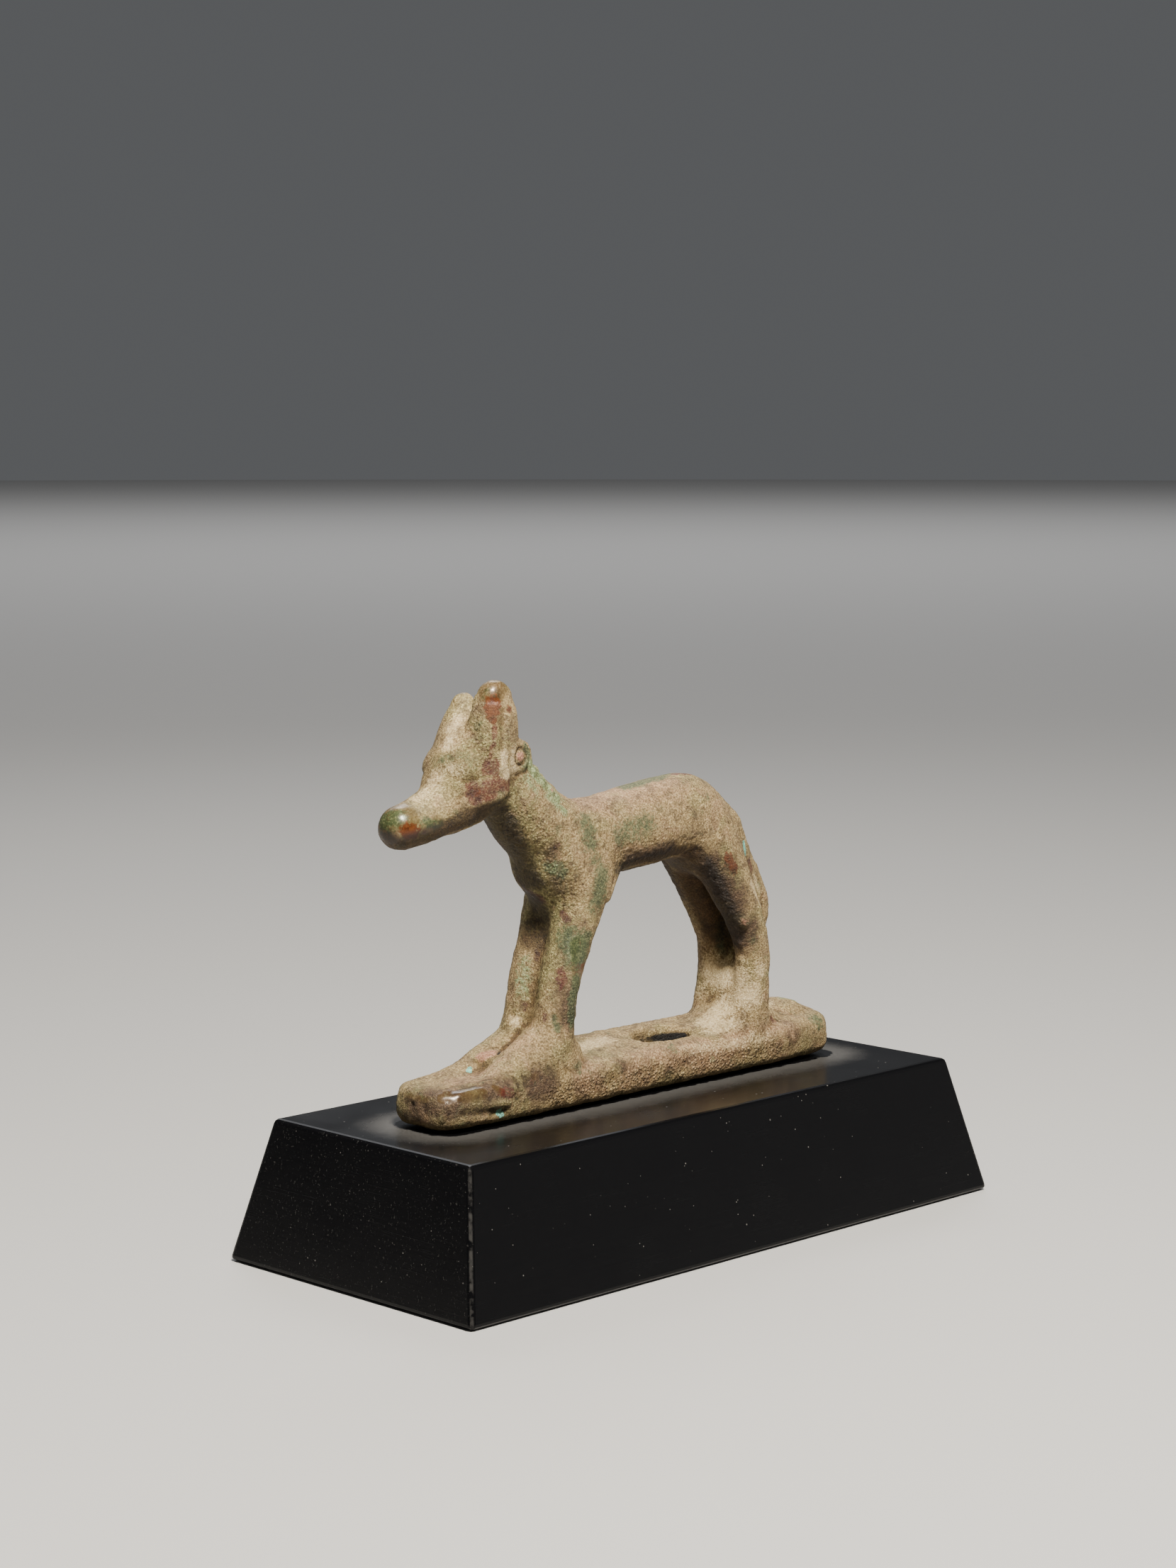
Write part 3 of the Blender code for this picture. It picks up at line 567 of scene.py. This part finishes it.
# Painted shade: the undersides of the muzzle and jaw, the throat and chest, the belly's underside and the
# insides of the hind legs.
shade_marks = [
    (3.6, 1.0, [(-44.5, 0.0, 58.6), (-40.0, 0.0, 59.4), (-35.0, 0.0, 60.8), (-31.0, 0.0, 61.6)]),
    (2.8, 1.0, [(-43.0, -2.2, 58.6), (-38.0, -2.8, 59.6), (-33.6, -3.5, 61.2), (-29.4, -4.2, 62.2)]),
    (2.0, 0.8, [(-43.0, 2.2, 58.8), (-38.0, 2.8, 59.6), (-33.6, 3.5, 61.2)]),
    (5.0, 1.0, [(-28.0, 0.0, 61.0), (-25.0, 0.0, 57.0), (-21.5, 0.5, 51.0)]),
    (3.6, 1.0, [(-28.0, -2.7, 61.8), (-25.4, -2.7, 58.2), (-22.6, -2.2, 53.6), (-20.6, -1.6, 50.6)]),
    (3.0, 0.9, [(-27.6, 2.9, 61.8), (-25.0, 2.9, 58.2), (-22.2, 2.4, 53.6)]),
    (4.2, 1.0, [(-18.0, 1.0, 47.5), (-17.8, 1.0, 43.6)]),
    (4.5, 1.0, [(-4.0, 0.0, 50.8), (4.0, 0.0, 51.2), (11.0, 0.0, 51.0)]),
    (5.2, 1.0, [(14.0, 0.0, 48.0), (18.0, 0.0, 42.0), (19.6, 0.0, 39.6)]),
    (2.2, 0.9, [(-6.0, -3.8, 51.6), (0.0, -4.2, 52.4), (7.0, -4.4, 52.8)]),
    (2.2, 0.8, [(-6.0, 3.8, 51.6), (7.0, 4.4, 52.8)]),
    (3.8, 1.0, [(9.6, -4.2, 51.6), (13.0, -4.2, 47.5), (16.4, -3.8, 42.4), (18.6, -2.8, 39.6)]),
    (3.4, 0.8, [(11.0, 4.0, 50.5), (14.5, 4.5, 45.0)]),
]
paint_attribute(bronze, "recess_shadow", recess_shadow_marks, places)
paint_attribute(bronze, "shade", shade_marks, places)

# %% [markdown]
# Dirt gathers in hollows and leaves the tops of the grains pale. A point that lies below the average of
# its neighbours is in a hollow. So the skin is averaged along its edges a few times, and the distance
# that each point stands out from that average, along its normal, is kept as one more attribute.

# %% Hollows and tops
edges = np.empty(len(bronze.data.edges) * 2, dtype=np.int64)
bronze.data.edges.foreach_get("vertices", edges)
edges = edges.reshape(-1, 2)
normals = np.empty(len(bronze.data.vertices) * 3)
bronze.data.vertices.foreach_get("normal", normals)
normals = normals.reshape(-1, 3)
joins = np.bincount(edges.ravel(), minlength=len(places))


def averaged(points, rounds):
    for _ in range(rounds):
        total = np.stack([
            np.bincount(edges[:, 0], points[edges[:, 1], k], len(points))
            + np.bincount(edges[:, 1], points[edges[:, 0], k], len(points)) for k in range(3)], axis=1)
        points = 0.5 * points + 0.5 * total / joins[:, None]
    return points


def keep_height(name, rounds, full):
    height = ((places - averaged(places, rounds)) * normals).sum(1)
    layer = bronze.data.attributes.new(name, "FLOAT", "POINT")
    layer.data.foreach_set("value", np.clip(0.5 + height / full, 0, 1).astype(np.float32))
    print(name, "spread in mm", np.percentile(height, [5, 50, 95]).round(3))


keep_height("grain_height", 8, 0.12)
keep_height("form_height", 60, 0.9)

# %% [markdown]
# ### The bronze's material
# One Principled shader carries it all. Its colour is built up in the order of the real layers: metal,
# brown oxide, the tan crust of earth and corrosion, then the patches and the dirt, and last painted shade
# in the recesses and on the throat, belly and inner legs. Each layer is laid over the last with a mask of
# its own. The same masks drive roughness, metal and the fine bump, which is only for the grains too small
# for the mesh.


# %% Helpers for node trees
def new_material(name):
    made = bpy.data.materials.new(name)
    made.use_nodes = True
    return made, made.node_tree, made.node_tree.nodes["Principled BSDF"]


def add_node(tree, kind, links=None, **settings):
    node = tree.nodes.new(kind)
    for key, value in settings.items():
        setattr(node, key, value)
    for socket, source in (links or {}).items():
        if isinstance(source, bpy.types.NodeSocket):
            tree.links.new(source, node.inputs[socket])
        else:
            node.inputs[socket].default_value = source
    return node


def noise(tree, place, scale, detail=3.0, roughness=0.55, distortion=0.0):
    node = add_node(tree, "ShaderNodeTexNoise", {
        "Vector": place, "Scale": scale, "Detail": detail, "Roughness": roughness, "Distortion": distortion})
    return node.outputs["Fac"]


def calculate(tree, operation, first, second=0.0, third=0.0, clamp=False):
    node = add_node(tree, "ShaderNodeMath", {0: first, 1: second, 2: third}, operation=operation,
        use_clamp=clamp)
    return node.outputs[0]


def times(tree, first, second, clamp=False):
    return calculate(tree, "MULTIPLY", first, second, clamp=clamp)


def step_up(tree, value, low, high):
    node = add_node(tree, "ShaderNodeMapRange", {"Value": value, "From Min": low, "From Max": high})
    node.interpolation_type = "SMOOTHSTEP"
    return node.outputs["Result"]


def lay_over(tree, mask, under, over, blend="MIX"):
    node = tree.nodes.new("ShaderNodeMix")
    node.data_type = "RGBA"
    node.blend_type = blend
    for socket, source in ((node.inputs[0], mask), (node.inputs[6], under), (node.inputs[7], over)):
        if isinstance(source, bpy.types.NodeSocket):
            tree.links.new(source, socket)
        else:
            socket.default_value = source
    return node.outputs[2]


def blend_value(tree, mask, under, over):
    node = tree.nodes.new("ShaderNodeMix")
    for socket, source in ((node.inputs[0], mask), (node.inputs[2], under), (node.inputs[3], over)):
        if isinstance(source, bpy.types.NodeSocket):
            tree.links.new(source, socket)
        else:
            socket.default_value = source
    return node.outputs[0]


def ramp(tree, value, stops):
    node = add_node(tree, "ShaderNodeValToRGB", {"Fac": value})
    scale = node.color_ramp
    while len(scale.elements) < len(stops):
        scale.elements.new(0.5)
    for element, (position, colour) in zip(scale.elements, stops):
        element.position = position
        element.color = (*colour, 1)
    return node.outputs["Color"]


# %% Bronze: places and noises
patina, tree, shader = new_material("patinated_bronze_skin")
object_place = add_node(tree, "ShaderNodeTexCoord").outputs["Object"]
in_mm = add_node(tree, "ShaderNodeMapping",
    {"Vector": object_place, "Scale": (1000, 1000, 1000)}).outputs["Vector"]


def painted(name):
    return add_node(tree, "ShaderNodeAttribute", attribute_name=name).outputs["Fac"]


broad = noise(tree, in_mm, 0.16, 3)
cloudy = noise(tree, in_mm, 0.55, 4, 0.6)
mottled = noise(tree, in_mm, 1.6, 3, 0.6)
speckled = noise(tree, in_mm, 3.6, 2, 0.6)
gritty = noise(tree, in_mm, 7.5, 2, 0.65)
cells = add_node(tree, "ShaderNodeTexVoronoi",
    {"Vector": in_mm, "Scale": 2.3, "Randomness": 1.0}).outputs["Distance"]
granules = step_up(tree, cells, 0.62, 0.16)
coarse_cover = step_up(tree, painted("granular"), 0.1, 0.7)
grain_height = painted("grain_height")
form_height = painted("form_height")
print("nodes for places and noises", len(tree.nodes))


def patch(name, raggedness, low, high):
    """A painted place broken up by two noises, with a soft or a crisp edge."""
    ragged = calculate(tree, "MULTIPLY_ADD", mottled, raggedness, -0.5 * raggedness)
    fine = calculate(tree, "MULTIPLY_ADD", speckled, 0.5 * raggedness, -0.25 * raggedness)
    value = calculate(tree, "ADD", calculate(tree, "ADD", painted(name), ragged), fine)
    return step_up(tree, value, low, high)


# %% Bronze: the crust's earth colours
oxide = ramp(tree, cloudy, [
    (0.30, (0.032, 0.017, 0.009)), (0.50, (0.064, 0.038, 0.018)), (0.70, (0.105, 0.070, 0.034))])
tan = ramp(tree, speckled, [
    (0.28, (0.110, 0.074, 0.034)), (0.50, (0.320, 0.232, 0.118)), (0.72, (0.600, 0.475, 0.275))])
rosy = ramp(tree, speckled, [
    (0.28, (0.125, 0.074, 0.040)), (0.50, (0.345, 0.225, 0.132)), (0.72, (0.600, 0.435, 0.280))])
olive = ramp(tree, speckled, [
    (0.28, (0.060, 0.054, 0.018)), (0.50, (0.235, 0.208, 0.086)), (0.72, (0.560, 0.500, 0.270))])
brown = ramp(tree, speckled, [
    (0.25, (0.034, 0.019, 0.010)), (0.50, (0.080, 0.047, 0.025)), (0.75, (0.190, 0.125, 0.075))])
earth = lay_over(tree, patch("rosy", 1.3, 0.15, 0.85), tan, rosy)
earth = lay_over(tree, patch("olive", 1.3, 0.15, 0.85), earth, olive)
earth = lay_over(tree, patch("brown", 1.2, 0.15, 0.85), earth, brown)
drifts = noise(tree, in_mm, 0.27, 4, 0.62, 0.6)
earth = lay_over(tree, times(tree, step_up(tree, broad, 0.46, 0.64), 0.5), earth, olive)
earth = lay_over(tree, times(tree, step_up(tree, drifts, 0.54, 0.70), 0.62), earth, brown)
earth = lay_over(tree, times(tree, step_up(tree, drifts, 0.46, 0.32), 0.55), earth, rosy)
worn_cover = patch("worn", 0.5, 0.22, 0.66)
crust_depth = calculate(tree, "MULTIPLY_ADD", mottled, 0.35, times(tree, cloudy, 0.65))
crust_cover = calculate(tree, "MULTIPLY_ADD", step_up(tree, crust_depth, 0.30, 0.56), 0.62, 0.38)
crust_cover = times(tree, crust_cover, calculate(tree, "SUBTRACT", 1.0, times(tree, worn_cover, 0.6)))
colour = lay_over(tree, crust_cover, oxide, earth)
print("nodes with the crust", len(tree.nodes))

# %% Bronze: the coloured patches
green_cover = patch("green", 1.9, 0.14, 0.80)
wild_green = times(tree, step_up(tree, noise(tree, in_mm, 0.42, 4, 0.65, 0.4), 0.58, 0.72), 0.5)
green_cover = calculate(tree, "MAXIMUM", times(tree, green_cover, 0.85), wild_green)
malachite = ramp(tree, speckled, [
    (0.25, (0.018, 0.030, 0.014)), (0.50, (0.052, 0.074, 0.032)), (0.75, (0.180, 0.196, 0.096))])
colour = lay_over(tree, green_cover, colour, malachite)

verdigris_cover = patch("verdigris", 1.1, 0.22, 0.78)
verdigris = ramp(tree, speckled, [
    (0.25, (0.095, 0.130, 0.052)), (0.50, (0.220, 0.285, 0.140)), (0.75, (0.420, 0.490, 0.300))])
colour = lay_over(tree, times(tree, verdigris_cover, 0.85), colour, verdigris)

red_cover = patch("red", 1.5, 0.28, 0.56)
cuprite = ramp(tree, cloudy, [
    (0.35, (0.045, 0.007, 0.008)), (0.50, (0.078, 0.014, 0.012)), (0.65, (0.125, 0.033, 0.020))])
colour = lay_over(tree, times(tree, red_cover,
        calculate(tree, "MULTIPLY_ADD", speckled, -0.8, 1.15, clamp=True)), colour, cuprite)

rust_cover = patch("rust", 1.5, 0.34, 0.66)
rust = ramp(tree, mottled, [
    (0.35, (0.062, 0.015, 0.006)), (0.50, (0.100, 0.029, 0.011)), (0.65, (0.155, 0.057, 0.024))])
colour = lay_over(tree, times(tree, rust_cover, 0.92), colour, rust)

cream_cover = patch("cream", 1.0, 0.18, 0.85)
cream = ramp(tree, speckled, [
    (0.25, (0.330, 0.240, 0.125)), (0.50, (0.570, 0.450, 0.270)), (0.75, (0.800, 0.685, 0.470))])
colour = lay_over(tree, times(tree, cream_cover, 0.85), colour, cream)

pink_cover = patch("pink", 0.7, 0.28, 0.66)
pink = ramp(tree, speckled, [(0.3, (0.280, 0.125, 0.085)), (0.7, (0.540, 0.310, 0.225))])
colour = lay_over(tree, times(tree, pink_cover, 0.8), colour, pink)

turquoise_cover = patch("turquoise", 1.2, 0.34, 0.60)
turquoise = ramp(tree, speckled, [(0.3, (0.120, 0.390, 0.310)), (0.7, (0.390, 0.710, 0.590))])
colour = lay_over(tree, turquoise_cover, colour, turquoise)
print("nodes with the patches", len(tree.nodes))

# %% Bronze: dirt, painted shade, grain and gloss
hollow = step_up(tree, calculate(tree, "MULTIPLY_ADD", gritty, 0.3, grain_height), 0.20, 0.75)
calm_cover = step_up(tree, painted("calm"), 0.15, 0.7)
gap_share = blend_value(tree, coarse_cover, 0.20, 0.58)
gaps = times(tree, calculate(tree, "SUBTRACT", 1.0, granules),
    calculate(tree, "MULTIPLY_ADD", calm_cover, -0.5, gap_share), clamp=True)
dirt = times(tree, calculate(tree, "SUBTRACT", 1.0, hollow),
    calculate(tree, "SUBTRACT", 0.92, times(tree, worn_cover, 0.6)))
clean_earth = calculate(tree, "MULTIPLY_ADD", cream_cover, -0.55, 1.0)
colour = lay_over(tree, times(tree, calculate(tree, "MAXIMUM", gaps, dirt), clean_earth), colour,
    (0.42, 0.36, 0.28, 1), "MULTIPLY")
stained = times(tree, step_up(tree, calculate(tree, "MULTIPLY_ADD", mottled, 0.4,
        times(tree, cloudy, 0.6)), 0.56, 0.66), 0.35)
colour = lay_over(tree, stained, colour, (0.50, 0.44, 0.32, 1), "MULTIPLY")
# Painted shade on the throat, under the muzzle and jaw, under the belly and inside the hind legs.
colour = lay_over(tree, times(tree, patch("shade", 0.5, 0.10, 0.66), 0.92), colour,
    (0.17, 0.128, 0.080, 1), "MULTIPLY")
# Darker and browner in the larger hollows of the form, less so under the cream earth.
deep = calculate(tree, "SUBTRACT", 1.0, step_up(tree, form_height, 0.06, 0.36))
deep = times(tree, deep, calculate(tree, "MULTIPLY_ADD", cream_cover, -0.95, 1.0))
colour = lay_over(tree, times(tree, deep, 0.6), colour, (0.36, 0.28, 0.20, 1), "MULTIPLY")
# Painted shadow, nearly black, in the base's void, the loop's bore and the seam between the ears.
colour = lay_over(tree, patch("recess_shadow", 0.4, 0.1, 0.45), colour, (0.022, 0.018, 0.014, 1), "MULTIPLY")
richer = add_node(tree, "ShaderNodeHueSaturation", {"Saturation": 1.10, "Value": 0.95, "Color": colour})
tree.links.new(richer.outputs["Color"], shader.inputs["Base Color"])

rough = blend_value(tree, worn_cover, calculate(tree, "MULTIPLY_ADD", gritty, 0.3, 0.55),
    calculate(tree, "MULTIPLY_ADD", mottled, 0.25, 0.16))
rough = blend_value(tree, times(tree, red_cover, 0.6), rough, 0.42)
tree.links.new(rough, shader.inputs["Roughness"])
bare = times(tree, worn_cover, calculate(tree, "SUBTRACT", 1.0, crust_cover))
tree.links.new(times(tree, bare, 0.3), shader.inputs["Metallic"])

grain = calculate(tree, "ADD", times(tree, speckled, 0.5), times(tree, gritty, 0.5))
grain = calculate(tree, "MULTIPLY_ADD", granules, blend_value(tree, coarse_cover, 0.12, 0.5), grain)
fineness = add_node(tree, "ShaderNodeBump", {
    "Strength": calculate(tree, "MULTIPLY_ADD", calm_cover, -0.6,
        calculate(tree, "MULTIPLY_ADD", worn_cover, -0.35, 1.0)), "Distance": 0.00036, "Height": grain})
tree.links.new(fineness.outputs["Normal"], shader.inputs["Normal"])
bronze.data.materials.clear()
bronze.data.materials.append(patina)
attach(bronze, "root")
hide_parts("jackal_figure")
print("bronze material nodes", len(tree.nodes))

# %% [markdown]
# ## The block
# The block is wood under black gloss lacquer. Its solid is right as it is, so it stays and only gets a
# material. Faint strokes run along each face, dust lies in specks, and a pale film of dust edges the
# bronze's outline on the top, where no cloth reaches. The four sloping corners are painted pale, both as
# lacquer rubbed pale and as painted sheen, the light these edges catch. A little powder clings to the ends.

# %% Block: where dust, wear and painted sheen lie
plinth = frame["nodes"]["plinth"]
lacquer, tree, shader = new_material("black_gloss_lacquer")
object_place = add_node(tree, "ShaderNodeTexCoord").outputs["Object"]
in_mm = add_node(tree, "ShaderNodeMapping",
    {"Vector": object_place, "Scale": (1000, 1000, 1000)}).outputs["Vector"]
along = add_node(tree, "ShaderNodeMapping",
    {"Vector": object_place, "Scale": (60, 60, 4200)}).outputs["Vector"]
strokes = noise(tree, along, 1.0, 3, 0.6)
smudges = noise(tree, in_mm, 0.12, 4, 0.6)
motes = add_node(tree, "ShaderNodeTexVoronoi",
    {"Vector": in_mm, "Scale": 0.8, "Randomness": 1.0}).outputs["Distance"]
mote_size = noise(tree, in_mm, 0.5, 2)
specks = step_up(tree, calculate(tree, "SUBTRACT",
        calculate(tree, "MULTIPLY_ADD", mote_size, 0.34, -0.115), motes), 0.0, 0.05)

# The block's height, and how much each end and each side leans in from the foot to the top.
BLOCK_HEIGHT, END_INSET, SIDE_INSET = 19.7, 4.2, 4.8
split = add_node(tree, "ShaderNodeSeparateXYZ", {"Vector": in_mm})
# The rounded oblong that the bronze covers on the block's top.
HALO_HALF_LENGTH, HALO_HALF_WIDTH, HALO_ROUND = 39.4, 5.6, 3.0
beyond_x = calculate(tree, "MAXIMUM",
    calculate(tree, "SUBTRACT", calculate(tree, "ABSOLUTE", split.outputs["X"]),
        HALO_HALF_LENGTH - HALO_ROUND), 0.0)
beyond_y = calculate(tree, "MAXIMUM",
    calculate(tree, "SUBTRACT", calculate(tree, "ABSOLUTE", split.outputs["Y"]),
        HALO_HALF_WIDTH - HALO_ROUND), 0.0)
squares = calculate(tree, "ADD", times(tree, beyond_x, beyond_x), times(tree, beyond_y, beyond_y))
from_edge = calculate(tree, "SUBTRACT", calculate(tree, "SQRT", squares), HALO_ROUND)
wander = calculate(tree, "MULTIPLY_ADD", noise(tree, in_mm, 0.5, 3), 1.6,
    calculate(tree, "SUBTRACT", from_edge, 0.8))
halo_rise = step_up(tree, wander, 0.5, 0.9)
halo_fall = calculate(tree, "SUBTRACT", 1.0, step_up(tree, wander, 1.0, 7.0))
on_top = step_up(tree, split.outputs["Z"], 19.3, 19.6)
halo = times(tree, times(tree, halo_rise, halo_fall), on_top)
film = times(tree, halo, times(tree, noise(tree, in_mm, 3.5, 3, 0.7), 0.9))
end_reach = calculate(tree, "MULTIPLY_ADD", split.outputs["Z"], END_INSET / BLOCK_HEIGHT,
    calculate(tree, "ABSOLUTE", split.outputs["X"]))
side_reach = calculate(tree, "MULTIPLY_ADD", split.outputs["Z"], SIDE_INSET / BLOCK_HEIGHT,
    calculate(tree, "ABSOLUTE", split.outputs["Y"]))
at_end = step_up(tree, end_reach, 51.7, 52.2)
corner = times(tree, step_up(tree, end_reach, 51.95, 52.2), step_up(tree, side_reach, 23.85, 24.05))
# The corners' pale line is both worn lacquer and painted sheen, the light these edges catch.
rubbed_and_sheen = times(tree, corner, step_up(tree, noise(tree, in_mm, 0.9, 3), 0.36, 0.62))
powder = times(tree, at_end, step_up(tree, noise(tree, in_mm, 2.6, 3, 0.7), 0.60, 0.74))
# Dust, powder and the rubbed corners with their painted sheen, as one mask.
dust_and_sheen = calculate(tree, "MAXIMUM", times(tree, film, 0.55), times(tree, specks, 0.5))
dust_and_sheen = calculate(tree, "MAXIMUM", dust_and_sheen,
    calculate(tree, "MAXIMUM", times(tree, rubbed_and_sheen, 0.14), times(tree, powder, 0.16)))
print("nodes for dust and wear", len(tree.nodes))

# %% Block: lacquer and gloss
colour = lay_over(tree, times(tree, dust_and_sheen, 0.5), (0.0022, 0.0022, 0.0026, 1), (0.42, 0.40, 0.37, 1))
tree.links.new(colour, shader.inputs["Base Color"])
shader.inputs["Specular IOR Level"].default_value = 0.14
gloss = calculate(tree, "MULTIPLY_ADD", smudges, 0.16,
    calculate(tree, "MULTIPLY_ADD", strokes, 0.16, 0.08))
tree.links.new(blend_value(tree, dust_and_sheen, gloss, 0.85), shader.inputs["Roughness"])
brushing = add_node(tree, "ShaderNodeBump", {"Strength": 0.10, "Distance": 0.00005, "Height": strokes})
tree.links.new(brushing.outputs["Normal"], shader.inputs["Normal"])
for slot in plinth.material_slots:
    slot.material = lacquer
print("block material nodes", len(tree.nodes))
